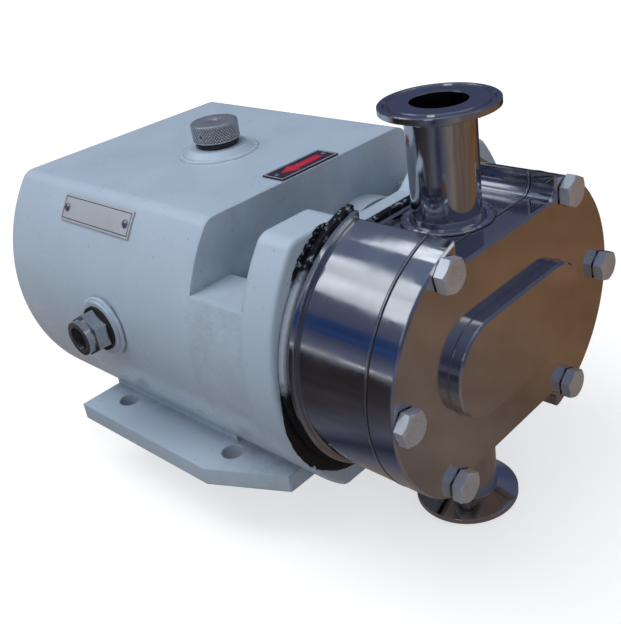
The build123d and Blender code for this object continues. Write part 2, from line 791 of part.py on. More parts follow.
for name, x in shafts.items():
    with BuildPart() as shaft:
        thread_front_y = rotor_front_y - thread_length
        end_y = drive_shaft_end_y if name == "drive" else driven_shaft_end_y
        turned(
            x,
            [
                (0, thread_front_y),
                (thread_diameter / 2 - shaft_chamfer, thread_front_y),
                (thread_diameter / 2, thread_front_y + shaft_chamfer),
                (thread_diameter / 2, rotor_front_y),
                (rotor_seat, rotor_front_y),
                (rotor_seat, rotor_back_y),
                (seal_journal_diameter / 2, rotor_back_y),
                (seal_journal_diameter / 2, bearing_journal_front_y),
                (journal, bearing_journal_front_y),
                (journal, front_bearing_back_y),
                (shaft_body_diameter / 2, front_bearing_back_y),
                (shaft_body_diameter / 2, gear_front_y),
                (gear_seat, gear_front_y),
                (gear_seat, gear_back_y),
                (journal, gear_back_y),
                (journal, driven_shaft_end_y - shaft_chamfer),
                (journal - shaft_chamfer, driven_shaft_end_y),
                (0, driven_shaft_end_y),
            ],
        )
        feather_key(
            x,
            rotor_key_width,
            rotor_key_bottom,
            rotor_key_height,
            rotor_key_front_y,
            rotor_key_length,
            Mode.SUBTRACT,
        )
        feather_key(
            x,
            gear_key_width,
            gear_key_bottom,
            gear_key_height,
            gear_key_front_y,
            gear_key_length,
            Mode.SUBTRACT,
        )
        if name == "drive":
            extension = extension_diameter / 2
            turned(
                x,
                [
                    (0, driven_shaft_end_y - shaft_chamfer),
                    (extension, driven_shaft_end_y - shaft_chamfer),
                    (extension, coupling_groove_y),
                    (extension - coupling_groove_depth, coupling_groove_y),
                    (extension - coupling_groove_depth, coupling_groove_y + coupling_groove_width),
                    (extension, coupling_groove_y + coupling_groove_width),
                    (extension, end_y - shaft_chamfer),
                    (extension - shaft_chamfer, end_y),
                    (0, end_y),
                ],
            )
            feather_key(
                x,
                coupling_key_width,
                coupling_key_bottom,
                coupling_key_height,
                coupling_key_front_y,
                coupling_key_length,
                Mode.SUBTRACT,
            )
    shaft.part.label = f"{name}_shaft"
    export_step(shaft.part, f"parts/{name}_shaft.step")

    with BuildPart() as rotor:
        prism(turn_outline(rotor_section, x, rotor_turn), rotor_front_y, rotor_back_y)
        ring(x, 0, rotor_seat, rotor_front_y, rotor_back_y, Mode.SUBTRACT)
        key_top = rotor_key_bottom + rotor_key_height + key_top_gap
        hub_keyway(x, rotor_key_width, key_top, rotor_front_y, rotor_back_y)
    rotor.part.label = f"{name}_rotor"
    export_step(rotor.part, f"parts/{name}_rotor.step")

    with BuildPart() as rotor_key:
        feather_key(
            x, rotor_key_width, rotor_key_bottom, rotor_key_height, rotor_key_front_y, rotor_key_length
        )
    rotor_key.part.label = f"{name}_rotor_key"
    export_step(rotor_key.part, f"parts/{name}_rotor_key.step")

    with BuildPart() as rotor_nut:
        nut_front_y = rotor_front_y - rotor_nut_length
        turned(
            x,
            [
                (0, nut_front_y),
                (rotor_nut_radius - rotor_nut_dome, nut_front_y),
                (rotor_nut_radius, nut_front_y + rotor_nut_dome),
                (rotor_nut_radius, rotor_front_y),
                (0, rotor_front_y),
            ],
        )
        with BuildSketch(front_plane(nut_front_y)):
            with Locations((x, 0)):
                Rectangle(rotor_nut_flats, 2 * rotor_nut_radius)
        extrude(amount=rotor_nut_length, dir=(0, 1, 0), mode=Mode.INTERSECT)
        ring(x, 0, thread_diameter / 2, rotor_front_y - thread_length, rotor_front_y, Mode.SUBTRACT)
    rotor_nut.part.label = f"{name}_rotor_nut"
    export_step(rotor_nut.part, f"parts/{name}_rotor_nut.step")

    with BuildPart() as seal_ring:
        ring(x, seal_ring_bore, seal_ring_radius, seal_ring_front_y, seal_bellows_front_y)
    seal_ring.part.label = f"{name}_seal_ring"
    export_step(seal_ring.part, f"parts/{name}_seal_ring.step")

    with BuildPart() as seal_bellows:
        bellows_bore = seal_journal_diameter / 2
        ring(x, bellows_bore, seal_bellows_radius, seal_bellows_front_y, seal_collar_front_y)
    seal_bellows.part.label = f"{name}_seal_bellows"
    export_step(seal_bellows.part, f"parts/{name}_seal_bellows.step")

    with BuildPart() as seal_collar:
        collar_bore = seal_journal_diameter / 2
        ring(x, collar_bore, seal_collar_radius, seal_collar_front_y, seal_collar_back_y)
    seal_collar.part.label = f"{name}_seal_collar"
    export_step(seal_collar.part, f"parts/{name}_seal_collar.step")

    with BuildPart() as timing_gear:
        prism(turn_outline(gear_section, x, gear_turns[name]), gear_front_y, gear_back_y)
        ring(x, 0, gear_seat, gear_front_y, gear_back_y, Mode.SUBTRACT)
        key_top = gear_key_bottom + gear_key_height + key_top_gap
        hub_keyway(x, gear_key_width, key_top, gear_front_y, gear_back_y)
    timing_gear.part.label = f"{name}_timing_gear"
    export_step(timing_gear.part, f"parts/{name}_timing_gear.step")

    with BuildPart() as gear_key:
        feather_key(
            x, gear_key_width, gear_key_bottom, gear_key_height, gear_key_front_y, gear_key_length
        )
    gear_key.part.label = f"{name}_gear_key"
    export_step(gear_key.part, f"parts/{name}_gear_key.step")

    with BuildPart() as gear_spacer:
        ring(x, journal, raceway_inner, gear_back_y, rear_bearing_front_y)
    gear_spacer.part.label = f"{name}_gear_spacer"
    export_step(gear_spacer.part, f"parts/{name}_gear_spacer.step")

    with BuildPart() as lock_nut:
        ring(x, journal, lock_nut_radius, rear_bearing_back_y, lock_nut_back_y)
        with BuildSketch(front_plane(rear_bearing_back_y)):
            with Locations((x, 0)):
                with PolarLocations(lock_nut_radius, 4):
                    Rectangle(2 * lock_nut_slot_depth, lock_nut_slot_width)
        extrude(amount=lock_nut_length, dir=(0, 1, 0), mode=Mode.SUBTRACT)
    lock_nut.part.label = f"{name}_lock_nut"
    export_step(lock_nut.part, f"parts/{name}_lock_nut.step")

    with BuildPart() as inner_rings:
        for front_y in (front_bearing_front_y, rear_bearing_front_y):
            ring(x, journal, raceway_inner, front_y, front_y + bearing_width)
    inner_rings.part.label = f"{name}_bearing_inner_rings"
    export_step(inner_rings.part, f"parts/{name}_bearing_inner_rings.step")

    with BuildPart() as roller_sets:
        for front_y in (front_bearing_front_y, rear_bearing_front_y):
            cage_front_y = front_y + (bearing_width - cage_length) / 2
            roller_front_y = front_y + (bearing_width - roller_length) / 2
            ring(x, cage_inner_radius, cage_outer_radius, cage_front_y, cage_front_y + cage_length)
            with BuildSketch(front_plane(roller_front_y)):
                with Locations((x, 0)):
                    with PolarLocations(roller_pitch_radius, rollers):
                        Circle(roller_radius)
            extrude(amount=roller_length, dir=(0, 1, 0))
    roller_sets.part.label = f"{name}_roller_cages"
    export_step(roller_sets.part, f"parts/{name}_roller_cages.step")

with BuildPart() as coupling_key:
    feather_key(
        drive_x,
        coupling_key_width,
        coupling_key_bottom,
        coupling_key_height,
        coupling_key_front_y,
        coupling_key_length,
    )
coupling_key.part.label = "coupling_key"
export_step(coupling_key.part, "parts/coupling_key.step")

# ---------------------------------------------------------------- seals and bearings in the casting
with BuildPart() as seal_seats:
    for x in shafts.values():
        ring(x, seal_ring_bore, seal_seat_radius, seal_seat_front_y, seal_seat_back_y)
seal_seats.part.label = "seal_seats"
export_step(seal_seats.part, "parts/seal_seats.step")


def oil_seal(x, shaft_radius, outer_radius, front_y):
    """A shaft seal whose bore narrows towards the oil, down to the lip running on the shaft."""
    lip = shaft_radius + oil_seal_gap
    back_y = front_y + oil_seal_width
    turned(
        x,
        [
            (lip + oil_seal_taper, front_y),
            (outer_radius, front_y),
            (outer_radius, back_y),
            (lip, back_y),
        ],
    )


with BuildPart() as front_oil_seals:
    for x in shafts.values():
        oil_seal(x, journal, seat_radius, front_seal_front_y)
front_oil_seals.part.label = "front_oil_seals"
export_step(front_oil_seals.part, "parts/front_oil_seals.step")

with BuildPart() as rear_oil_seal:
    oil_seal(drive_x, extension_diameter / 2, extension_seal_outer / 2, rear_seal_front_y)
rear_oil_seal.part.label = "rear_oil_seal"
export_step(rear_oil_seal.part, "parts/rear_oil_seal.step")

with BuildPart() as bearing_outer_rings:
    for x in shafts.values():
        for front_y in (front_bearing_front_y, rear_bearing_front_y):
            ring(x, raceway_outer, seat_radius, front_y, front_y + bearing_width)
bearing_outer_rings.part.label = "bearing_outer_rings"
export_step(bearing_outer_rings.part, "parts/bearing_outer_rings.step")

with BuildPart() as bearing_circlips:
    for x in shafts.values():
        ring(x, circlip_inner / 2, circlip_outer / 2, front_bearing_back_y, circlip_back_y)
        with BuildSketch(front_plane(front_bearing_back_y)):
            with Locations((x, -circlip_outer / 2)):
                Rectangle(circlip_opening, circlip_outer / 2)
        extrude(amount=circlip_thickness, dir=(0, 1, 0), mode=Mode.SUBTRACT)
bearing_circlips.part.label = "bearing_circlips"
export_step(bearing_circlips.part, "parts/bearing_circlips.step")

# ---------------------------------------------------------------- rear cover
with BuildPart() as rear_gasket:
    prism(barrel_outline(rear_cover_inset), casting_back_y, rear_cover_front_y)
    prism(obround(rear_opening_radius), casting_back_y, rear_cover_front_y, Mode.SUBTRACT)
    round_holes(rear_screw_places, rear_screw_hole, casting_back_y, rear_cover_front_y)
rear_gasket.part.label = "rear_gasket"
export_step(rear_gasket.part, "parts/rear_gasket.step")

with BuildPart() as rear_cover:
    prism(barrel_outline(rear_cover_inset), rear_cover_front_y, rear_cover_back_y)
    rear_face = rear_cover.faces().sort_by(Axis.Y)[-1]
    chamfer(rear_face.edges(), cover_edge)
    hub = obround(rear_opening_radius - rear_hub_gap)
    prism(hub, rear_hub_front_y, rear_cover_front_y)
    for x in shafts.values():
        ring(x, 0, rear_boss_radius, rear_cover_back_y, rear_boss_back_y)
    pocket_radius = seat_radius - rear_bearing_shelf
    for x in shafts.values():
        ring(x, 0, seat_radius, rear_hub_front_y, rear_bearing_back_y, Mode.SUBTRACT)
        ring(x, 0, pocket_radius, rear_bearing_back_y, rear_pocket_back_y, Mode.SUBTRACT)
    extension_hole = extension_diameter / 2 + rear_shaft_gap
    ring(drive_x, 0, extension_hole, rear_pocket_back_y, rear_boss_back_y, Mode.SUBTRACT)
    seal_radius = extension_seal_outer / 2
    ring(drive_x, 0, seal_radius, rear_seal_front_y, rear_boss_back_y, Mode.SUBTRACT)
    round_holes(rear_screw_places, rear_screw_hole, rear_cover_front_y, rear_cover_back_y)
rear_cover.part.label = "rear_cover"
export_step(rear_cover.part, "parts/rear_cover.step")

with BuildPart() as rear_cover_screws:
    with BuildSketch(front_plane(rear_cover_back_y)):
        with Locations(*rear_screw_places):
            Circle(rear_screw_head_radius)
            RegularPolygon(rear_screw_socket / 2, 6, major_radius=False, mode=Mode.SUBTRACT)
    extrude(amount=rear_screw_head_height, dir=(0, 1, 0))
    with BuildSketch(front_plane(rear_cover_back_y)):
        with Locations(*rear_screw_places):
            Circle(rear_screw_head_radius)
    extrude(amount=rear_screw_head_height / 2, dir=(0, 1, 0))
    with BuildSketch(front_plane(rear_screw_front_y)):
        with Locations(*rear_screw_places):
            Circle(rear_screw_diameter / 2)
    extrude(amount=rear_screw_length, dir=(0, 1, 0))
rear_cover_screws.part.label = "rear_cover_screws"
export_step(rear_cover_screws.part, "parts/rear_cover_screws.step")

# ---------------------------------------------------------------- fittings on the casting
boss_top_z = top_z + filler_boss_height
cap_bottom_z = boss_top_z + filler_ring_height
with BuildPart() as filler_cap:
    with BuildSketch(Plane(origin=(0, fitting_y, cap_bottom_z))):
        Circle(filler_cap_radius)
    extrude(amount=filler_cap_height)
    chamfer(filler_cap.edges().filter_by(GeomType.CIRCLE), filler_cap_chamfer)
    with BuildSketch(Plane(origin=(0, fitting_y, cap_bottom_z))):
        Circle(filler_stem_radius)
    extrude(amount=-filler_stem_length)
    with BuildSketch(Plane(origin=(0, fitting_y, cap_bottom_z + filler_cap_height))):
        Circle(filler_cap_dimple)
    extrude(amount=-filler_cap_dimple, mode=Mode.SUBTRACT)
filler_cap.part.label = "filler_cap"
export_step(filler_cap.part, "parts/filler_cap.step")

with BuildPart() as filler_o_ring:
    with BuildSketch(Plane(origin=(0, fitting_y, boss_top_z + filler_stem_gap))):
        Circle(filler_ring_radius)
        Circle(filler_stem_radius, mode=Mode.SUBTRACT)
    extrude(amount=filler_ring_height - filler_stem_gap)
    ring_edges = filler_o_ring.edges().filter_by(GeomType.CIRCLE)
    chamfer(ring_edges.group_by(SortBy.RADIUS)[-1], filler_ring_chamfer)
filler_o_ring.part.label = "filler_o_ring"
export_step(filler_o_ring.part, "parts/filler_o_ring.step")

sight_seat_x = sight_boss_x - sight_gasket_thickness
sight_face_x = sight_seat_x - sight_hex_length - sight_ring_length
with BuildPart() as sight_glass_gasket:
    with BuildSketch(Plane.YZ.offset(sight_boss_x)):
        with Locations((fitting_y, axis_height)):
            Circle(sight_gasket_radius)
            Circle(sight_stem_radius, mode=Mode.SUBTRACT)
    extrude(amount=-sight_gasket_thickness)
sight_glass_gasket.part.label = "sight_glass_gasket"
export_step(sight_glass_gasket.part, "parts/sight_glass_gasket.step")

with BuildPart() as sight_glass_body:
    with BuildSketch(Plane.YZ.offset(sight_seat_x)):
        with Locations((fitting_y, axis_height)):
            RegularPolygon(sight_hex_width / 2, 6, major_radius=False, rotation=sight_hex_turn)
    extrude(amount=-sight_hex_length)
    side_disc(sight_face_x, fitting_y, axis_height, sight_ring_radius, sight_ring_length)
    side_disc(sight_seat_x, fitting_y, axis_height, sight_stem_radius, sight_stem_length)
    sight_length = sight_hex_length + sight_ring_length + sight_stem_length
    side_disc(
        sight_face_x, fitting_y, axis_height, sight_window_radius, sight_length, Mode.SUBTRACT
    )
sight_glass_body.part.label = "sight_glass_body"
export_step(sight_glass_body.part, "parts/sight_glass_body.step")

with BuildPart() as sight_glass_lens:
    lens_x = sight_face_x + lens_setback
    side_disc(lens_x, fitting_y, axis_height, sight_window_radius, lens_thickness)
sight_glass_lens.part.label = "sight_glass_lens"
export_step(sight_glass_lens.part, "parts/sight_glass_lens.step")

drain_seat_x = drain_boss_x + drain_washer_thickness
with BuildPart() as drain_washer:
    with BuildSketch(Plane.YZ.offset(drain_boss_x)):
        with Locations((drain_y, drain_axis_z)):
            Circle(drain_washer_radius)
            Circle(drain_stem_radius, mode=Mode.SUBTRACT)
    extrude(amount=drain_washer_thickness)
drain_washer.part.label = "drain_washer"
export_step(drain_washer.part, "parts/drain_washer.step")

with BuildPart() as drain_plug:
    with BuildSketch(Plane.YZ.offset(drain_seat_x)):
        with Locations((drain_y, drain_axis_z)):
            RegularPolygon(drain_hex_width / 2, 6, major_radius=False)
    extrude(amount=drain_hex_length)
    side_disc(drain_seat_x, drain_y, drain_axis_z, drain_stem_radius, -drain_stem_length)
drain_plug.part.label = "drain_plug"
export_step(drain_plug.part, "parts/drain_plug.step")

with BuildPart() as name_plate:
    low = radians(180 - name_plate_low)
    high = radians(180 - name_plate_high)
    reach = 2 * barrel_radius
    with BuildSketch(front_plane(name_plate_front_y)):
        Circle(barrel_radius + plate_thickness)
        Circle(barrel_radius, mode=Mode.SUBTRACT)
        with BuildLine():
            Polyline(
                (0, 0),
                (reach * cos(low), reach * sin(low)),
                (reach * cos(high), reach * sin(high)),
                close=True,
            )
        make_face(mode=Mode.INTERSECT)
    extrude(amount=name_plate_length, dir=(0, 1, 0))
name_plate.part.label = "name_plate"
export_step(name_plate.part, "parts/name_plate.step")

with BuildPart() as arrow_plate:
    arrow_plate_y = gearbox_front_y + arrow_plate_inset + arrow_plate_width / 2
    with BuildSketch(Plane(origin=(0, arrow_plate_y, top_z))):
        RectangleRounded(arrow_plate_length, arrow_plate_width, plate_corner)
    extrude(amount=plate_thickness)
arrow_plate.part.label = "arrow_plate"
export_step(arrow_plate.part, "parts/arrow_plate.step")
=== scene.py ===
"""Rotary lobe pump: materials, small trim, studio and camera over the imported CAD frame."""
import math

import bmesh
import bpy
from mathutils import Matrix, Vector, noise


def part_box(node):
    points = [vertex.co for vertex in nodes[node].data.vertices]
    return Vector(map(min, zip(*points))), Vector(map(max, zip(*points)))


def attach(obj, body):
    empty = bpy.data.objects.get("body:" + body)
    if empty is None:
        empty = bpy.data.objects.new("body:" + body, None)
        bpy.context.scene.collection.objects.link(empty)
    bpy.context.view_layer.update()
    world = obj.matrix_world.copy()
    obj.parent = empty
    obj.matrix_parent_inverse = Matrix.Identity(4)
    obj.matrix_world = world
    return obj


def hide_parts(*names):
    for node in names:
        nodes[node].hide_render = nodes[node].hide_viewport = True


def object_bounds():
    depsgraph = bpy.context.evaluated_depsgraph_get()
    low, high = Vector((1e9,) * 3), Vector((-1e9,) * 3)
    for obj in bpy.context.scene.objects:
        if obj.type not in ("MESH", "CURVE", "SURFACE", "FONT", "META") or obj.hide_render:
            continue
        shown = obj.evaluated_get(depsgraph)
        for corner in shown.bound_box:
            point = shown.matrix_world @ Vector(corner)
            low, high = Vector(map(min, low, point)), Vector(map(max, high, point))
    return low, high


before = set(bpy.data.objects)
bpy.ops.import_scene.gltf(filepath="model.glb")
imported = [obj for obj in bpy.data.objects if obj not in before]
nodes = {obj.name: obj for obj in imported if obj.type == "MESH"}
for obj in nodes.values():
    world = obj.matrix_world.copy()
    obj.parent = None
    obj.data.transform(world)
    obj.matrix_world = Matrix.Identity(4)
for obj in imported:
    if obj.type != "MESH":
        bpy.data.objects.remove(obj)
cad_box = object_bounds()
scene = bpy.context.scene
axis_z = sum(corner[2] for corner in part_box("drive_shaft")) / 2
cover_back_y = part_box("front_cover")[1][1]
gasket_front_y, flange_y = (corner[1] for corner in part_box("backing_plate"))
# the seal-access window's near and far walls, behind the flange's face
window_front_y, window_back_y = flange_y + 0.016, flange_y + 0.0535


# ------------------------------------------------------------------ materials
def linear(red, green, blue):
    """A linear colour from 0-255 display values."""
    def channel(value):
        value /= 255
        return value / 12.92 if value <= 0.04045 else ((value + 0.055) / 1.055) ** 2.4

    return (channel(red), channel(green), channel(blue), 1)


class Nodes:
    """Short calls for the shader nodes of one tree."""

    def __init__(self, tree):
        self.tree = tree
        self.place = self.node("TexCoord").outputs["Object"]

    def node(self, kind, **inputs):
        """A new node; each input is a value or another node's output."""
        made = self.tree.nodes.new("ShaderNode" + kind)
        for key, value in inputs.items():
            self.put(made.inputs[key.replace("_", " ")], value)
        return made

    def put(self, socket, value):
        if isinstance(value, bpy.types.NodeSocket):
            self.tree.links.new(value, socket)
        else:
            socket.default_value = value

    def noise(self, scale, detail=3.0, rough=0.5, stretch=None):
        place = self.place
        if stretch:
            place = self.node("Mapping", Vector=place, Scale=stretch).outputs[0]
        made = self.node("TexNoise", Vector=place, Scale=scale, Detail=detail, Roughness=rough)
        return made.outputs["Fac"]

    def range(self, value, low, high, start=0.3, end=0.7):
        """The value's run from start to end, spread over low to high and held there."""
        return self.node(
            "MapRange", Value=value, From_Min=start, From_Max=end, To_Min=low, To_Max=high
        ).outputs[0]

    def mix(self, factor, first, second):
        made = self.tree.nodes.new("ShaderNodeMix")
        made.data_type = "RGBA"
        factor_socket, first_socket, second_socket = made.inputs[0], made.inputs[6], made.inputs[7]
        self.put(factor_socket, factor)
        self.put(first_socket, first)
        self.put(second_socket, second)
        return made.outputs[2]

    def math(self, operation, first, second=0.0):
        made = self.tree.nodes.new("ShaderNodeMath")
        made.operation = operation
        self.put(made.inputs[0], first)
        self.put(made.inputs[1], second)
        return made.outputs[0]

    def ramp(self, position, stops):
        """A colour ramp over (position, colour) stops, the first at 0 and the last at 1."""
        made = self.node("ValToRGB", Fac=position)
        band = made.color_ramp
        band.elements[0].color = stops[0][1]
        band.elements[1].color = stops[-1][1]
        for place, colour in stops[1:-1]:
            band.elements.new(place).color = colour
        return made.outputs[0]

    def corners(self, distance, samples=6):
        """How open a point is: 1 in the open, towards 0 in a corner."""
        made = self.node("AmbientOcclusion", Distance=distance)
        made.samples = samples
        return made.outputs["AO"]

    def bevel(self, radius, samples=4):
        """A normal rounded over the edges, which lets them catch the light."""
        made = self.node("Bevel", Radius=radius)
        made.samples = samples
        return made.outputs[0]

    def bump(self, height, strength, distance, normal=None):
        made = self.node("Bump", Height=height, Strength=strength, Distance=distance)
        if normal:
            self.put(made.inputs["Normal"], normal)
        return made.outputs[0]


class Shader(Nodes):
    """A Principled material and the textures that drive it."""

    def __init__(self, name):
        self.material = bpy.data.materials.new(name)
        self.material.use_nodes = True
        super().__init__(self.material.node_tree)
        self.bsdf = self.tree.nodes["Principled BSDF"]

    def set(self, **inputs):
        for key, value in inputs.items():
            self.put(self.bsdf.inputs[key.replace("_", " ")], value)


def paint(name, colour, shade):
    """Hand-brushed gloss enamel over a sand casting: soft waves, filler in the window, painted shade in
    corners.
    """
    s = Shader(name)
    tone = s.range(s.noise(16, 4), 0, 1)
    base = s.mix(tone, colour, shade)
    split = s.node("SeparateXYZ", Vector=s.place)
    in_window = s.math(
        "MULTIPLY",
        s.range(split.outputs["Y"], 0, 1, window_front_y, window_front_y + 0.0025),
        s.range(split.outputs["Y"], 1, 0, window_back_y - 0.0023, window_back_y),
    )
    streaks = s.range(s.noise(70, 4, 0.6, (1, 1, 0.35)), 0, 1, 0.35, 0.65)
    filler = s.math("MULTIPLY", in_window, s.math("MULTIPLY", streaks, 0.4))
    base = s.mix(filler, base, linear(150, 156, 168))
    # painted shade: the enamel darkens towards grey in corners and hollows, in blotches
    corner_shade = s.range(s.corners(0.009), 0.42, 0, 0.25, 0.75)
    blotch = s.range(s.noise(150, 4), 0.25, 1, 0.35, 0.6)
    base = s.mix(s.math("MULTIPLY", corner_shade, blotch), base, linear(96, 98, 104))
    specks = s.range(s.noise(420, 2), 0, 0.4, 0.7, 0.75)
    base = s.mix(specks, base, linear(112, 110, 110))
    peel = s.noise(240, 2)
    waves = s.noise(34, 3)
    lumps = s.noise(95, 4, 0.6)
    height = s.math("ADD", s.math("MULTIPLY", peel, 0.12), waves)
    height = s.math("ADD", height, s.math("MULTIPLY", s.math("MULTIPLY", lumps, in_window), 2.4))
    normal = s.bump(height, 0.22, 0.0014, s.bevel(0.0016))
    rough = s.range(s.noise(48, 3), 0.24, 0.42)
    s.set(Base_Color=base, Roughness=rough, Normal=normal)
    s.set(IOR=1.5, Coat_Weight=0.35, Coat_Roughness=0.14)
    return s.material


def metal(
    name,
    colour,
    rough,
    spread=0.08,
    grain=None,
    scale=900,
    bump=0.05,
    edge=0.0003,
    tone=0.12,
    metallic=1.0,
    shaded_grooves=False,
):
    """Bare metal: grain may be a stretch that draws its marks along one way, and grooves may get painted
    shade.
    """
    s = Shader(name)
    dull = tuple(channel * (1 - tone) for channel in colour[:3]) + (1,)
    base = s.mix(s.range(s.noise(90, 4), 0, 1), colour, dull)
    if shaded_grooves:
        # painted shade: the colour goes dark grey where the surface is hollow, down in the grooves
        raised = s.range(s.node("NewGeometry").outputs["Pointiness"], 0, 1, 0.44, 0.52)
        base = s.mix(raised, linear(40, 42, 46), base)
    marks = s.noise(scale, 3, 0.6, grain)
    smudge = s.noise(45, 4, 0.6)
    level = s.math("ADD", s.math("MULTIPLY", marks, 0.5), s.math("MULTIPLY", smudge, 0.5))
    normal = s.bump(marks, bump, 0.0004, s.bevel(edge))
    s.set(Base_Color=base, Metallic=metallic, Normal=normal)
    s.set(Roughness=s.range(level, max(rough - spread, 0.02), rough + spread))
    return s.material


def polished(name, colour, wave):
    """Hand-polished stainless steel: long soft waves, buffing haze and a few fine scratches."""
    s = Shader(name)
    dull = tuple(channel * 0.9 for channel in colour[:3]) + (1,)
    base = s.mix(s.range(s.noise(60, 4), 0, 1), colour, dull)
    scratches = s.range(s.noise(260, 2, 0.5, (1, 9, 1)), 0, 1, 0.62, 0.66)
    waves = s.noise(42, 2, 0.4)
    ripple = s.noise(150, 2)
    height = s.math("ADD", waves, s.math("MULTIPLY", ripple, 0.1))
    height = s.math("SUBTRACT", height, s.math("MULTIPLY", scratches, 0.006))
    haze = s.range(s.noise(34, 5, 0.65), 0.06, 0.2, 0.4, 0.68)
    # painted shade: the steel darkens to near black in hollows and narrow grooves
    base = s.mix(s.range(s.corners(0.0022), 0.85, 0, 0.2, 0.7), base, linear(26, 27, 34))
    s.set(Base_Color=base, Metallic=1.0, Roughness=haze)
    s.set(Normal=s.bump(height, wave, 0.0012, s.bevel(0.0008)))
    return s.material


def soft(name, colour, rough, bump=0.15, scale=700, edge=0.0003):
    """Rubber, gasket sheet, carbon and printed foil."""
    s = Shader(name)
    pale = tuple(min(channel * 1.5 + 0.01, 1) for channel in colour[:3]) + (1,)
    base = s.mix(s.range(s.noise(120, 4), 0, 1), colour, pale)
    normal = s.bump(s.noise(scale, 3), bump, 0.0003, s.bevel(edge))
    s.set(Base_Color=base, Roughness=s.range(s.noise(200, 3), rough - 0.08, rough + 0.08))
    s.set(Normal=normal)
    return s.material


def painted_gasket(name, keep_low, keep_high, ragged, worn=0.75):
    """Black gasket or sealant, brushed over with enamel between two heights and in torn patches above."""
    s = Shader(name)
    split = s.node("SeparateXYZ", Vector=s.place)
    height = s.math("ADD", split.outputs["Z"], s.math("MULTIPLY", s.noise(130, 4, 0.7), ragged))
    low, high = keep_low + ragged / 2, keep_high + ragged / 2
    fade = 0.003
    band = s.math(
        "MULTIPLY",
        s.range(height, 0, 1, low - fade, low + fade),
        s.range(height, 1, 0, high - fade, high + fade),
    )
    torn = s.range(s.noise(330, 4, 0.7), 0, 1, 0.55, 0.6)
    upper_half = s.range(split.outputs["Z"], 0, 1, axis_z, axis_z + 0.01)
    patches = s.math("MULTIPLY", torn, upper_half)
    over = s.math("MAXIMUM", band, s.math("MULTIPLY", patches, worn))
    base = s.mix(over, linear(15, 15, 18), linear(150, 160, 174))
    s.set(Base_Color=base, Roughness=s.range(over, 0.55, 0.35, 0, 1))
    s.set(Normal=s.bump(s.noise(620, 3), 0.5, 0.0005, s.bevel(0.0003)))
    return s.material


def glass():
    """The sight glass, coloured dark as painted shade of the unlit gearbox behind it."""
    s = Shader("lens")
    # painted shade: the lens is coloured dark for the unlit inside of the gearbox
    tint = s.mix(s.range(s.noise(160, 2), 0, 1), linear(34, 34, 40), linear(22, 21, 22))
    s.set(Base_Color=tint, Roughness=0.05, IOR=1.47, Transmission_Weight=0.25)
    s.set(Normal=s.bump(s.noise(60, 2), 0.05, 0.0004))
    return s.material


enamel = paint("enamel", linear(172, 187, 203), linear(163, 179, 196))
mirror_steel = polished("mirror_steel", linear(205, 206, 210), wave=0.085)
turned_steel = metal(
    "turned_steel", linear(198, 200, 204), rough=0.13, spread=0.06, grain=(1, 1, 14), scale=260, bump=0.04
)
bolt_steel = metal(
    "bolt_steel",
    linear(216, 220, 228),
    rough=0.24,
    spread=0.06,
    scale=300,
    bump=0.008,
    tone=0.16,
    metallic=0.68,
)
ground_steel = metal(
    "ground_steel", linear(196, 197, 200), rough=0.2, spread=0.06, grain=(1, 12, 1), scale=300
)
dark_steel = metal("dark_steel", linear(120, 120, 124), rough=0.38, spread=0.1, scale=1200, bump=0.15)
nickel = metal("nickel", linear(206, 206, 206), rough=0.24, grain=(1, 1, 10), scale=500, edge=0.0004)
bronze = metal("bronze", linear(176, 134, 74), rough=0.32)
copper = metal("copper", linear(184, 108, 70), rough=0.34, spread=0.1)
plate_metal = metal(
    "plate_metal",
    linear(188, 192, 200),
    rough=0.42,
    grain=(1, 18, 1),
    scale=260,
    bump=0.08,
    edge=0.0002,
    tone=0.1,
    metallic=0.3,
)
gasket = painted_gasket("gasket", axis_z + 0.002, axis_z + 0.044, 0.016)
sheet = soft("sheet", linear(24, 24, 27), 0.62)
rubber = soft("rubber", linear(20, 20, 22), 0.5)
nitrile = soft("nitrile", linear(62, 38, 26), 0.5)
knurled = metal(
    "knurled",
    linear(212, 214, 216),
    rough=0.3,
    spread=0.06,
    edge=0.0001,
    tone=0.1,
    metallic=0.85,
    shaded_grooves=True,
)
carbon = soft("carbon", linear(40, 40, 42), 0.3, 0.05)
carbide = soft("carbide", linear(84, 86, 90), 0.22, 0.03)
lens = glass()
foil = soft("foil", linear(38, 26, 44), 0.32, 0.04)
arrow_red = soft("arrow_red", linear(168, 22, 44), 0.35, 0.05)
# black film on the flange's face: sealant above the head, painted shade of the case's gap below it
sealant_and_gap_shade = painted_gasket("sealant_and_gap_shade", axis_z + 0.002, axis_z + 0.042, 0.014)

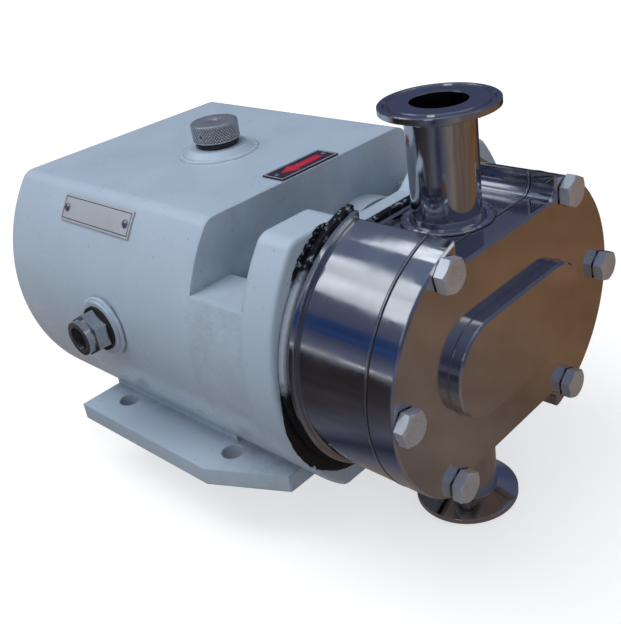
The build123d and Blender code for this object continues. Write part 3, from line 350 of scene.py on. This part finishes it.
looks = {
    "gearbox_housing": enamel,
    "rear_cover": enamel,
    "rotor_case": mirror_steel,
    "front_cover": mirror_steel,
    "top_port": mirror_steel,
    "bottom_port": mirror_steel,
    "backing_plate": gasket,
    "rear_gasket": sheet,
    "cover_seal": rubber,
    "filler_o_ring": rubber,
    "sight_glass_gasket": rubber,
    "cover_bolts": bolt_steel,
    "rear_cover_screws": dark_steel,
    "case_dowels": ground_steel,
    "front_oil_seals": nitrile,
    "rear_oil_seal": nitrile,
    "bearing_outer_rings": ground_steel,
    "bearing_circlips": dark_steel,
    "seal_seats": carbide,
    "filler_cap": nickel,
    "sight_glass_body": nickel,
    "sight_glass_lens": lens,
    "drain_plug": nickel,
    "drain_washer": copper,
    "name_plate": plate_metal,
    "arrow_plate": foil,
    "coupling_key": dark_steel,
}
for shaft in ("drive", "driven"):
    looks.update(
        {
            f"{shaft}_shaft": ground_steel,
            f"{shaft}_rotor": turned_steel,
            f"{shaft}_rotor_nut": nickel,
            f"{shaft}_rotor_key": dark_steel,
            f"{shaft}_seal_ring": carbon,
            f"{shaft}_seal_bellows": rubber,
            f"{shaft}_seal_collar": nickel,
            f"{shaft}_timing_gear": dark_steel,
            f"{shaft}_gear_key": dark_steel,
            f"{shaft}_gear_spacer": dark_steel,
            f"{shaft}_lock_nut": dark_steel,
            f"{shaft}_bearing_inner_rings": ground_steel,
            f"{shaft}_roller_cages": bronze,
        }
    )
for name, item in nodes.items():
    item.data.materials.clear()
    item.data.materials.append(looks[name])


# ------------------------------------------------------------------ small trim
def spread(low, high, count):
    """Evenly spaced numbers from low to high."""
    return [low + (high - low) * step / (count - 1) for step in range(count)]


def surface(name, rows, body, material, close_rows=True, close_ends=False, smooth=True):
    """A skin through rows of points; rows may close on themselves, and so may the whole stack."""
    data = bpy.data.meshes.new(name)
    made = bmesh.new()
    grid = [[made.verts.new(point) for point in row] for row in rows]
    count = len(grid[0])
    last_row = len(grid) if close_ends else len(grid) - 1
    last_point = count if close_rows else count - 1
    for row in range(last_row):
        here, after = grid[row], grid[(row + 1) % len(grid)]
        for spot in range(last_point):
            following = (spot + 1) % count
            made.faces.new((here[spot], here[following], after[following], after[spot]))
    bmesh.ops.remove_doubles(made, verts=made.verts, dist=1e-7)
    bmesh.ops.recalc_face_normals(made, faces=made.faces)
    for face in made.faces:
        face.smooth = smooth
    made.to_mesh(data)
    made.free()
    return dress(bpy.data.objects.new(name, data), body, material)


def dress(item, body, material):
    """Links a piece, gives it its material and slot, and makes it ride on its body."""
    scene.collection.objects.link(item)
    item.data.materials.append(material)
    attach(item, body)
    return item


def lathe(name, profile, frame_matrix, body, material, segments=48, shape=None):
    """Turns a profile of (radius, height) about the matrix's Z; shape moves each radius."""
    rows = []
    for radius, height in profile:
        row = []
        for step in range(segments):
            angle = math.tau * step / segments
            reach = shape(angle, radius, height) if shape else radius
            row.append(frame_matrix @ Vector((reach * math.cos(angle), reach * math.sin(angle), height)))
        rows.append(row)
    return surface(name, rows, body, material)


def dome(radius, height, steps=5):
    """The profile of a low rounded rivet head."""
    quarter = spread(0, math.pi / 2, steps)
    return [(radius, 0)] + [(radius * math.cos(a), height * (0.3 + 0.7 * math.sin(a))) for a in quarter]


def bead(name, path, normal, size, body, material, sides=8):
    """A closed bead along a path in one plane; size gives its half widths across and along normal."""
    rows = []
    count = len(path)
    for step, point in enumerate(path):
        along = (path[(step + 1) % count] - path[step - 1]).normalized()
        across = along.cross(normal)
        row = []
        for corner in range(sides):
            angle = math.tau * corner / sides
            wide, deep = size(step, point, angle)
            row.append(point + across * wide * math.cos(angle) + normal * deep * math.sin(angle))
        rows.append(row)
    return surface(name, rows, body, material, close_ends=True)


def roughly(point, scale, seed=0.0):
    """Fixed noise between about -1 and 1 at a place."""
    return noise.noise(Vector(point) * scale + Vector((seed, 7.3, seed * 2)))


def circle_path(centre, first, second, radius, count):
    """Points round a circle in the plane of two unit vectors."""
    turns = [math.tau * step / count for step in range(count)]
    return [centre + first * radius * math.cos(a) + second * radius * math.sin(a) for a in turns]


X, Y, Z = Vector((1, 0, 0)), Vector((0, 1, 0)), Vector((0, 0, 1))

# the pump head's outline, about its middle on the shafts' level
head_arc_x = 0.0217
head_radius = 0.0614
recess_half = 0.0365
recess_floor = 0.049
recess_round = 0.006


def head_path(grow, y, steps=90):
    """The pump head's outline at y, made larger by grow: arcs at the sides, a recess at each port."""
    radius, half, floor_at = head_radius + grow, recess_half - grow, recess_floor + grow
    corner = math.acos((half - head_arc_x) / radius)
    quarter = [(half * share, floor_at) for share in spread(0, 1 - recess_round / half, 24)]
    for turn in spread(-math.pi / 2, 0, 8)[1:]:
        quarter.append(
            (
                half - recess_round + recess_round * math.cos(turn),
                floor_at + recess_round + recess_round * math.sin(turn),
            )
        )
    for turn in spread(corner, 0, steps):
        quarter.append((head_arc_x + radius * math.cos(turn), radius * math.sin(turn)))
    lower = [(x, -z) for x, z in reversed(quarter[:-1])]
    right = quarter + lower
    left = [(-x, z) for x, z in reversed(right[1:-1])]
    return [Vector((x, y, axis_z + z)) for x, z in right + left]


def make_knurled_cap():
    """The filler cap with its diamond knurling, the dimple on top and the tommy-bar hole."""
    low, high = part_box("filler_cap")
    centre = Vector(((low[0] + high[0]) / 2, (low[1] + high[1]) / 2, 0))
    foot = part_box("filler_o_ring")[1][2]
    radius, top = (high[0] - low[0]) / 2, high[2]
    stem = 0.009
    teeth, depth = 46, 0.00042
    band_low, band_high = foot + 0.0009, top - 0.0013
    hole_turn, hole_z, hole_radius = math.radians(190), foot + 0.0042, 0.0011

    def shape(angle, reach, height):
        if not band_low <= height <= band_high or reach < radius - 0.0001:
            return reach
        slope = (height - band_low) * teeth / (math.tau * radius)
        ridges = [abs(((angle * teeth / math.tau + way * slope) % 1) - 0.5) * 2 for way in (1, -1)]
        cut = depth * max(0, 1 - 1.7 * min(ridges))
        side = (angle - hole_turn) * radius
        away = math.hypot(side, height - hole_z)
        if away < hole_radius:
            cut = max(cut, 0.004 * (1 - (away / hole_radius) ** 4))
        return reach - cut

    edge = 0.0006
    profile = [(0, low[2]), (stem, low[2]), (stem, foot), (radius - edge, foot), (radius, foot + edge)]
    profile += [(radius, height) for height in spread(band_low, band_high, 40)]
    profile += [(radius, top - 0.0007), (radius - edge, top - 0.00012), (radius - 2 * edge, top)]
    profile += [(0.0024, top), (0.0021, top - 0.0003), (0.0015, top - 0.0012), (0, top - 0.0014)]
    place = Matrix.Translation(centre)
    cap = lathe("knurled_cap", profile, place, "filler_cap_group", knurled, 552, shape)
    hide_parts("filler_cap")


def make_cover_bolts():
    """Six hexagon bolts with chamfered corners, a turned face and a washer face under the head."""
    low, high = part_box("cover_bolts")
    cad_head_height = 0.0064
    seat_y = low[1] + cad_head_height
    corner_x, corner_z, side_x = 0.0453, 0.0498, 0.0763
    places = [(x, z) for x in (-corner_x, corner_x) for z in (-corner_z, corner_z)]
    places += [(-side_x, 0), (side_x, 0)]

    flat, head, shank, length = 0.0067, 0.0054, 0.004, high[1] - seat_y - 0.0002
    washer_face, turned_face, dip_edge = 0.94 * flat, 0.6 * flat, 0.58 * flat
    face_dip, sunk = 0.00012, 0.00005
    corner_slope = math.tan(math.radians(30))
    steps = 72

    def hexagon(height, angle):
        away = (angle + math.radians(30)) % math.radians(60) - math.radians(30)
        return min(flat / math.cos(away), flat * 0.96 + (head - height) / corner_slope)

    # pairs of radius and depth behind the seat; None is the hexagon's own radius
    profile = [(0, length), (shank * 0.9, length), (shank, length - 0.0008)]
    profile += [(shank, sunk), (washer_face, sunk), (washer_face, -0.0005), (None, -0.0005)]
    profile += [(None, -height) for height in spread(head - 0.0016, head, 9)]
    profile += [(turned_face, -head), (dip_edge, -head + face_dip), (0, -head + face_dip)]

    data = bpy.data.meshes.new("hexagon_bolts")
    made = bmesh.new()
    for order, (x, z) in enumerate(places):
        twist = 0.35 * (order * 1.7 % 1)
        grid = []
        for radius, depth in profile:
            row = []
            for step in range(steps):
                angle = math.tau * step / steps
                reach = hexagon(-depth, angle) if radius is None else radius
                across, up = reach * math.cos(angle + twist), reach * math.sin(angle + twist)
                row.append(made.verts.new((x + across, seat_y + depth, axis_z + z + up)))
            grid.append(row)
        for here, after in zip(grid, grid[1:]):
            for step in range(steps):
                other = (step + 1) % steps
                made.faces.new((here[step], here[other], after[other], after[step]))
    bmesh.ops.remove_doubles(made, verts=made.verts, dist=1e-7)
    bmesh.ops.recalc_face_normals(made, faces=made.faces)
    made.to_mesh(data)
    made.free()
    bolts = dress(bpy.data.objects.new("hexagon_bolts", data), "pump_body", bolt_steel)
    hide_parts("cover_bolts")


def make_name_plate_trim():
    """Two round-headed screws and a pressed border line on the bare plate."""
    low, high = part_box("name_plate")
    barrel_radius, plate_thickness = 0.0895, 0.0008
    skin = barrel_radius + plate_thickness
    first, last = math.radians(180 - 38.6), math.radians(180 - 30.1)
    middle = (first + last) / 2
    inset = 0.0042

    def on_plate(angle, y, lift):
        reach = skin + lift
        return Vector((reach * math.cos(angle), y, axis_z + reach * math.sin(angle)))

    outward = Vector((math.cos(middle), 0, math.sin(middle))).to_track_quat("Z", "Y").to_matrix().to_4x4()
    for name, y in (("front", low[1] + inset), ("back", high[1] - inset)):
        place = Matrix.Translation(on_plate(middle, y, -0.0001)) @ outward
        lathe(f"name_plate_screw_{name}", dome(0.0021, 0.0011), place, "pump_body", nickel)

    line, gap = 0.00035, 0.0011

    def loop(inset, lift):
        a0, a1 = first + inset / skin, last - inset / skin
        y0, y1 = low[1] + inset, high[1] - inset
        turns, runs = spread(a0, a1, 9), spread(y0, y1, 9)
        places = [(a, y0) for a in turns] + [(a1, y) for y in runs[1:]]
        places += [(a, y1) for a in reversed(turns[:-1])] + [(a0, y) for y in reversed(runs[1:-1])]
        return [on_plate(a, y, lift) for a, y in places]

    sunk, proud = -0.0001, 0.00006
    rows = [loop(gap, sunk), loop(gap, proud), loop(gap + line, proud), loop(gap + line, sunk)]
    surface("name_plate_border", rows, "pump_body", rubber, close_ends=True, smooth=False)


def flat_mark(name, outline, z, height, material):
    """A thin raised mark of the given outline on a level face."""
    data = bpy.data.meshes.new(name)
    made = bmesh.new()
    face = made.faces.new([made.verts.new((x, y, z)) for x, y in outline])
    grown = bmesh.ops.extrude_face_region(made, geom=[face])["geom"]
    top = [part for part in grown if isinstance(part, bmesh.types.BMVert)]
    bmesh.ops.translate(made, vec=(0, 0, height), verts=top)
    bmesh.ops.recalc_face_normals(made, faces=made.faces)
    made.to_mesh(data)
    made.free()
    return dress(bpy.data.objects.new(name, data), "pump_body", material)


def make_arrow_plate_trim():
    """The direction plate's red arrow, pale edge line and two rivets."""
    low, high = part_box("arrow_plate")
    middle_y, top = (low[1] + high[1]) / 2, high[2]
    tail, tip = high[0] - 0.0065, low[0] + 0.006
    neck, head_half, shaft_half = low[0] + 0.0145, 0.0044, 0.0024
    outline = [
        (tail, middle_y - shaft_half),
        (tail, middle_y + shaft_half),
        (neck, middle_y + shaft_half),
        (neck, middle_y + head_half),
        (tip, middle_y),
        (neck, middle_y - head_half),
        (neck, middle_y - shaft_half),
    ]
    flat_mark("direction_arrow", outline, top - 0.00005, 0.00013, arrow_red)
    gap, line, sunk, proud = 0.0006, 0.0005, -0.00005, 0.00007
    rows = []
    for inset, lift in ((gap, sunk), (gap, proud), (gap + line, proud), (gap + line, sunk)):
        corners = [
            (low[0] + inset, low[1] + inset),
            (high[0] - inset, low[1] + inset),
            (high[0] - inset, high[1] - inset),
            (low[0] + inset, high[1] - inset),
        ]
        rows.append([Vector((x, y, top + lift)) for x, y in corners])
    surface("arrow_plate_edge", rows, "pump_body", plate_metal, close_ends=True, smooth=False)
    for name, x in (("left", low[0] + 0.0034), ("right", high[0] - 0.0034)):
        place = Matrix.Translation((x, middle_y, top - 0.0001))
        lathe(f"arrow_plate_rivet_{name}", dome(0.0014, 0.0009), place, "pump_body", nickel)


def make_paint_beads():
    """Thick enamel brushed round the foot of each boss, as uneven rings."""
    cap_low, cap_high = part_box("filler_cap")
    fit_y = (cap_low[1] + cap_high[1]) / 2
    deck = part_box("arrow_plate")[0][2]
    sight_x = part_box("sight_glass_gasket")[1][0]

    def lumpy(thick):
        def size(step, point, angle):
            swell = 1 + 0.45 * roughly(point, 160) + 0.25 * roughly(point, 520, 3)
            return thick * 1.9 * swell, thick * swell
        return size

    top_ring = circle_path(Vector((0, fit_y, deck)), X, Y, 0.0192, 160)
    bead("filler_boss_bead", top_ring, Z, lumpy(0.001), "pump_body", enamel)
    side_ring = circle_path(Vector((sight_x + 0.0022, fit_y, axis_z)), Y, Z, 0.0142, 140)
    bead("sight_boss_bead", side_ring, X, lumpy(0.0008), "pump_body", enamel)


def make_weld_beads():
    """The polished weld round the foot of each port's tube."""
    port_y = sum(corner[1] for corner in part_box("top_port")) / 2
    for side, name in ((1, "top"), (-1, "bottom")):
        foot = axis_z + side * (recess_floor + 0.0004)
        ring = circle_path(Vector((0, port_y, foot)), X, Y, 0.0181, 200)

        def size(step, point, angle):
            ripple = 0.35 * roughly(point, 130) + 0.12 * roughly(point, 420, 2)
            return 0.0024 * (1 + ripple), 0.0011 * (1 + ripple)

        bead(f"{name}_port_weld", ring, Z, size, "pump_body", mirror_steel)


def make_gasket_edge():
    """The torn edge of the black gasket sheet, sealant pressed out on the flange's face above the head, and
    a black film below the head that is painted shade of the gap behind the case.
    """
    middle_y = (flange_y + gasket_front_y) / 2

    def torn(step, point, angle):
        high = point.z - axis_z
        worn = 0.15 + 0.85 * min(1, max(0, abs(high) / 0.03 - 0.6))
        tear = 0.3 + roughly(point, 420) + 0.9 * roughly(point + Y * math.sin(angle) * 0.002, 1400, 5)
        return 0.0001 + 0.0003 * worn * max(0, tear), 0.00188

    path = head_path(0.0031, middle_y, 240)
    bead("gasket_torn_edge", path, Y, torn, "pump_body", gasket, 10)

    # each patch: the bearings it runs between, its width, where along it is widest, and how ragged it is
    patches = (("upper", 112, 142, 0.0034, 0.8, 0.4), ("lower", 178, 250, 0.0066, 1.5, 0.1))
    for name, start, end, widest, lean, ragged in patches:
        rows = []
        for share in spread(0, 1, 150):
            turn = math.radians(start + (end - start) * share)
            hump = math.sin(math.pi * share**lean) ** 0.7
            row = []
            for column in spread(0, 1, 9):
                spot = Vector((math.cos(turn), 0, math.sin(turn)))
                tear = 1 + ragged * roughly(spot, 16, column) + 0.5 * ragged * roughly(spot, 60)
                reach = head_radius + 0.002 + column * (0.001 + widest * hump * tear)
                lift = 0.00055 * (1 - column**3) * (0.8 + 0.5 * roughly(spot * reach, 900, 4))
                x, z = reach * spot.x - head_arc_x, reach * spot.z + axis_z
                row.append(Vector((x, flange_y - max(lift, 0) + 0.0001, z)))
            rows.append(row)
        # the upper patch is sealant; the lower patch is painted shade, a black film over the shaded gap
        surface(f"sealant_{name}", rows, "pump_body", sealant_and_gap_shade, close_rows=False)


def make_joint_line():
    """The dark hairline of the cover's seal, and the case's polished lip behind it."""
    path = head_path(0.0, cover_back_y)
    bead("cover_joint", path, Y, lambda *_: (0.00008, 0.00026), "pump_body", rubber, 6)
    lip = head_path(0.0, cover_back_y + 0.0009)
    bead("case_lip", lip, Y, lambda *_: (0.00022, 0.0007), "pump_body", mirror_steel, 10)


make_knurled_cap()
make_cover_bolts()
make_name_plate_trim()
make_arrow_plate_trim()
make_paint_beads()
make_weld_beads()
make_gasket_edge()
make_joint_line()


# ------------------------------------------------------------------ studio
room_radius = 2.4
aim = Vector((0, 0, 0.07))
floor_z = cad_box[0][2] - 0.001


def bare_material(name):
    """A material with no nodes but those that its maker adds, and their tree."""
    material = bpy.data.materials.new(name)
    material.use_nodes = True
    material.node_tree.nodes.clear()
    return material, Nodes(material.node_tree)


def emitter(name):
    """A material that only glows, its nodes, and the emission node they drive."""
    material, s = bare_material(name)
    light = s.node("Emission", Strength=1.0)
    s.node("OutputMaterial", Surface=light.outputs[0])
    return material, s, light


def mesh_object(name, build, material):
    data = bpy.data.meshes.new(name)
    made = bmesh.new()
    build(made)
    made.to_mesh(data)
    made.free()
    data.materials.append(material)
    item = bpy.data.objects.new(name, data)
    scene.collection.objects.link(item)
    return item


def reflection_only(item):
    """A studio card that shows in polished metal and lights nothing."""
    item.visible_camera = False
    item.visible_diffuse = False
    item.visible_shadow = False
    item.visible_transmission = False


def make_floor():
    """A plain pale floor: matt, so that it takes the shadow, and white to the camera further out."""
    material, s = bare_material("floor")
    grain = s.node("TexNoise", Scale=3).outputs[0]
    tint = s.mix(grain, (0.5, 0.46, 0.43, 1), (0.46, 0.43, 0.41, 1))
    matt = s.node("BsdfDiffuse", Color=tint)

    distance = s.node("VectorMath", Vector=s.place)
    distance.operation = "LENGTH"
    far = s.node("MapRange", Value=distance.outputs["Value"], From_Min=0.35, From_Max=1.1, To_Min=0.66)
    far.interpolation_type = "SMOOTHSTEP"
    path = s.node("LightPath")
    seen = s.math("MAXIMUM", path.outputs["Is Camera Ray"], path.outputs["Is Glossy Ray"])
    strength = s.math("MULTIPLY", far.outputs[0], seen)
    glow = s.node("Emission", Color=(0.93, 0.97, 1.0, 1), Strength=strength)

    both = s.node("AddShader")
    s.put(both.inputs[0], matt.outputs[0])
    s.put(both.inputs[1], glow.outputs[0])
    s.node("OutputMaterial", Surface=both.outputs[0])
    floor = mesh_object(
        "floor", lambda b: bmesh.ops.create_grid(b, x_segments=1, y_segments=1, size=12), material
    )
    floor.location.z = floor_z


def make_world():
    """Soft even light from all round, and white where the camera sees it."""
    scene.world = bpy.data.worlds.new("studio")
    scene.world.use_nodes = True
    tree = scene.world.node_tree
    sky = tree.nodes["Background"]
    sky.inputs["Color"].default_value = (0.93, 0.96, 1.0, 1)
    path = tree.nodes.new("ShaderNodeLightPath")
    amount = tree.nodes.new("ShaderNodeMapRange")
    amount.inputs["To Min"].default_value = 0.46
    amount.inputs["To Max"].default_value = 1.08
    tree.links.new(path.outputs["Is Camera Ray"], amount.inputs["Value"])
    tree.links.new(amount.outputs[0], sky.inputs["Strength"])


def softbox(name, place, target, width, height, power, colour):
    data = bpy.data.lights.new(name, "AREA")
    data.shape = "RECTANGLE"
    data.size = width
    data.size_y = height
    data.energy = power
    data.color = colour
    item = bpy.data.objects.new(name, data)
    item.location = place
    item.rotation_euler = (Vector(target) - Vector(place)).to_track_quat("-Z", "Y").to_euler()
    item.visible_glossy = False
    scene.collection.objects.link(item)


def room_shell(made):
    """A sphere without its lower half, open towards the floor."""
    bmesh.ops.create_uvsphere(made, u_segments=48, v_segments=24, radius=room_radius)
    low = [vert for vert in made.verts if vert.co.z < -0.05]
    bmesh.ops.delete(made, geom=low, context="VERTS")


def make_room():
    """The walls and ceiling that polished metal reflects, in tones that change with elevation."""
    material, s, light = emitter("room")
    tones = [
        (-2, (112, 112, 126)),
        (8, (98, 102, 124)),
        (13, (70, 76, 102)),
        (24, (72, 80, 108)),
        (29, (86, 90, 112)),
        (42, (92, 98, 122)),
        (60, (112, 124, 150)),
        (90, (150, 160, 176)),
    ]
    height = s.node("SeparateXYZ", Vector=s.place).outputs["Z"]
    stops = [(math.sin(math.radians(elevation)), linear(*tone)) for elevation, tone in tones]
    s.put(light.inputs["Color"], s.ramp(s.range(height, 0, 1, 0, room_radius), stops))
    room = mesh_object("room", room_shell, material)
    room.location.z = floor_z
    reflection_only(room)


def make_warm_floor():
    """The brown shop floor that polished metal reflects, in tones that change with bearing."""
    material, s, light = emitter("warm_floor")
    tones = [
        (-180, (66, 62, 66)),
        (-158, (96, 98, 114)),
        (-146, (52, 54, 72)),
        (-132, (96, 96, 112)),
        (-118, (122, 114, 112)),
        (-110, (136, 126, 120)),
        (-102, (112, 98, 90)),
        (-75, (116, 100, 90)),
        (-56, (128, 98, 74)),
        (-25, (120, 88, 62)),
        (-14, (62, 54, 54)),
        (36, (34, 34, 50)),
        (70, (60, 60, 74)),
        (96, (150, 144, 140)),
        (122, (150, 146, 146)),
        (134, (40, 38, 44)),
        (154, (50, 46, 48)),
        (180, (66, 62, 66)),
    ]
    bearing = s.node("TexGradient", Vector=s.place)
    bearing.gradient_type = "RADIAL"
    stops = [((angle + 180) / 360, linear(*tone)) for angle, tone in tones]
    s.put(light.inputs["Color"], s.ramp(bearing.outputs["Fac"], stops))
    s.put(light.inputs["Strength"], s.range(s.noise(9, 5, 0.6), 0.72, 1.16, 0.35, 0.65))
    disc = mesh_object(
        "warm_floor",
        lambda b: bmesh.ops.create_circle(b, cap_ends=True, segments=64, radius=room_radius),
        material,
    )
    disc.location.z = floor_z + 0.0004
    reflection_only(disc)


def towards(bearing, elevation, distance=1.7):
    """A place that far off in a direction given in degrees."""
    turn, rise = math.radians(bearing), math.radians(elevation)
    level = distance * math.cos(rise)
    return Vector((level * math.cos(turn), level * math.sin(turn), aim.z + distance * math.sin(rise)))


def window_card(name, place, width, height, strength, colour=(0.95, 0.98, 1, 1)):
    """A cloudy bright card that faces the pump and shows in its polished metal."""
    material, s, light = emitter(name)
    s.put(light.inputs["Color"], colour)
    s.put(light.inputs["Strength"], s.range(s.noise(2.6), strength * 0.62, strength, 0.35, 0.65))
    item = mesh_object(
        name, lambda b: bmesh.ops.create_grid(b, x_segments=1, y_segments=1, size=0.5), material
    )
    item.scale = (width, height, 1)
    item.location = place
    item.rotation_euler = (aim - place).to_track_quat("Z", "Y").to_euler()
    reflection_only(item)


def make_camera():
    data = bpy.data.cameras.new("camera")
    data.lens = 51.135
    data.sensor_width = 36
    data.shift_x = -0.06043
    data.shift_y = -0.02224
    data.clip_start = 0.01
    camera = bpy.data.objects.new("camera", data)
    camera.location = (-0.278895, -0.335, 0.266459)
    camera.rotation_euler = (1.0852682, 0.1198409, -0.8508013)
    scene.collection.objects.link(camera)
    return camera


make_floor()
make_world()
softbox("top_box", (-0.35, 0.25, 1.15), (0, 0, 0.08), 0.9, 0.9, 10, (0.95, 0.98, 1.0))
softbox("left_box", (-1.1, -0.5, 0.6), (0, 0, 0.08), 0.5, 0.8, 1.4, (0.97, 0.98, 1.0))
softbox("front_box", (0.35, -1.25, 0.55), (0, -0.1, 0.07), 0.5, 0.4, 1.6, (1.0, 0.97, 0.94))
make_room()
make_warm_floor()
pale_blue = (0.86, 0.93, 1, 1)
window_card("window_behind", towards(130, 47), 0.95, 0.64, 1.25, pale_blue)
window_card("window_side", towards(72, 59), 0.3, 0.26, 1.6, pale_blue)
window_card("skirting", towards(151, 1), 1.2, 0.035, 1.1)
window_card("blue_wall", towards(150, 18), 1.1, 0.3, 1.0, linear(50, 72, 122))
window_card("window_front", towards(-70, 44), 0.9, 0.3, 1.0)
window_card("window_left", towards(-160, 36), 0.4, 0.5, 1.0)
scene.camera = make_camera()

scene.view_settings.view_transform = "Standard"
